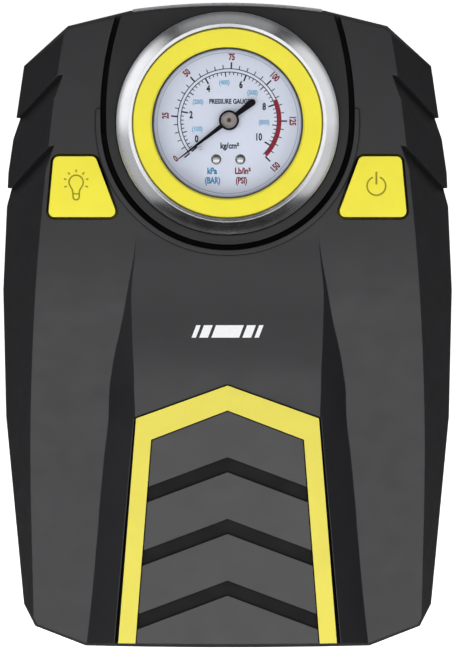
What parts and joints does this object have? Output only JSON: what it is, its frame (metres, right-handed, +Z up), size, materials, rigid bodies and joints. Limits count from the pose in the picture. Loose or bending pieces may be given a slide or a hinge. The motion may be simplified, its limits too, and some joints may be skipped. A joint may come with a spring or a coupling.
{
  "type": "portable tire inflator",
  "caption": "Flat-lying portable tyre inflator with a round dial gauge in a silver and yellow bezel, push buttons, an end lamp and a piston pump inside.",
  "frame": {"origin": "on the floor under the middle of the casing's bounding box, in the plane of the feet", "axes": "+Z up out of the gauge face, +Y along the casing towards the gauge and lamp end, +X to the right of the face"},
  "size_m": [0.1234, 0.1773, 0.0623],
  "materials": {
    "cover_black": "fine textured charcoal ABS",
    "housing_black": "satin dark charcoal ABS",
    "panel_grey": "fine textured grey ABS",
    "vent_black": "matt black",
    "bezel_silver": "satin silver plating",
    "accent_yellow": "satin yellow",
    "clear_lens": "clear polycarbonate",
    "frosted_lens": "frosted polycarbonate",
    "white_plastic": "gloss white",
    "nylon": "natural nylon",
    "black_nylon": "black nylon",
    "circuit_board": "green solder mask",
    "led_white": "phosphor yellow white",
    "dial_white": "printed enamel",
    "pointer_black": "black enamel",
    "steel": "bright zinc",
    "case_steel": "plain steel",
    "brass_bright": "machined brass",
    "copper": "enamelled copper",
    "bronze": "sintered bronze",
    "ferrite": "ferrite",
    "cast_aluminium": "die cast",
    "rubber_black": "matt rubber",
    "hose_rubber": "braided hose"
  },
  "bodies": {
    "casing": {"front_cover": "cover_black", "back_cover": "cover_black", "gauge_housing": "housing_black", "bezel_ring": "bezel_silver", "bezel_insert": "accent_yellow", "trim_frame": "accent_yellow", "grille_panel": "panel_grey", "vent_strips": "vent_black", "switches": "black_nylon", "switch_boards": "circuit_board", "lamp_lens": "frosted_lens", "lamp_reflector": "white_plastic", "led_board": "circuit_board", "leds": "led_white", "gauge_case": "case_steel", "gauge_dial": "dial_white", "gauge_lens": "clear_lens", "dial_screws": "steel", "stop_pin": "steel", "movement_plates": "brass_bright", "gauge_socket": "brass_bright", "bourdon_tube": "bronze", "motor_can": "case_steel", "motor_end_bell": "black_nylon", "motor_bushes": "bronze", "motor_magnets": "ferrite", "motor_brushes": "ferrite", "drive_frame": "cast_aluminium", "gear_axle": "steel", "cylinder": "cast_aluminium", "valve_plate": "steel", "cylinder_head": "cast_aluminium", "head_bolts": "steel", "gauge_tube": "hose_rubber", "outlet_tube": "hose_rubber", "hose_outlet": "brass_bright", "cord_grommet": "rubber_black", "rubber_feet": "rubber_black", "case_screws": "steel"},
    "light_button_group": {"light_button": "accent_yellow"},
    "power_button_group": {"power_button": "accent_yellow"},
    "pointer": {"gauge_needle": "pointer_black", "needle_hub": "steel", "gauge_arbor": "brass_bright"},
    "sector": {"sector_gear": "brass_bright"},
    "armature": {"armature_core": "case_steel", "armature_windings": "copper", "commutator": "copper", "motor_shaft": "steel", "fan": "black_nylon", "pinion": "steel"},
    "crank_gear": {"drive_gear": "nylon", "gear_bush": "bronze"},
    "piston_group": {"piston": "cast_aluminium", "piston_ring": "nylon", "wrist_pin": "steel"},
    "rod_group": {"con_rod": "cast_aluminium", "big_end_bush": "bronze", "crank_pin": "steel"}
  },
  "joints": [
    {"name": "light_press", "type": "slide", "parent": "casing", "child": "light_button_group", "axis": [0, 0, -1], "range_m": [0, 0.0015], "stiffness_N_per_m": 300, "springref_m": -0.002},
    {"name": "power_press", "type": "slide", "parent": "casing", "child": "power_button_group", "axis": [0, 0, -1], "range_m": [0, 0.0015], "stiffness_N_per_m": 300, "springref_m": -0.002},
    {"name": "pointer_swing", "type": "hinge", "parent": "casing", "child": "pointer", "pos_m": [0.0004, 0.0562, 0.0547], "axis": [0, 0, -1], "range_deg": [0, 262], "stiffness_Nm_per_rad": 0.0005, "springref_deg": -17.19},
    {"name": "sector_swing", "type": "hinge", "parent": "casing", "child": "sector", "pos_m": [0.0004, 0.0727, 0.0477], "axis": [0, 0, 1], "range_deg": [0, 26.3]},
    {"name": "motor_spin", "type": "hinge", "parent": "casing", "child": "armature", "pos_m": [-0.028, -0.03, 0.026], "axis": [0, 1, 0], "continuous": true},
    {"name": "crank_spin", "type": "hinge", "parent": "casing", "child": "crank_gear", "pos_m": [-0.004, 0.002, 0.026], "axis": [0, 1, 0], "continuous": true},
    {"name": "piston_slide", "type": "slide", "parent": "casing", "child": "piston_group", "axis": [1, 0, 0], "range_m": [-0.012, 0]},
    {"name": "rod_swing", "type": "hinge", "parent": "piston_group", "child": "rod_group", "pos_m": [0.038, 0.0105, 0.026], "axis": [0, 1, 0], "range_deg": [-9.6, 9.6]}
  ],
  "couplings": [
    {"joint": "sector_swing", "follows": "pointer_swing", "ratio": 0.1},
    {"joint": "crank_spin", "follows": "motor_spin", "ratio": -0.25}
  ]
}
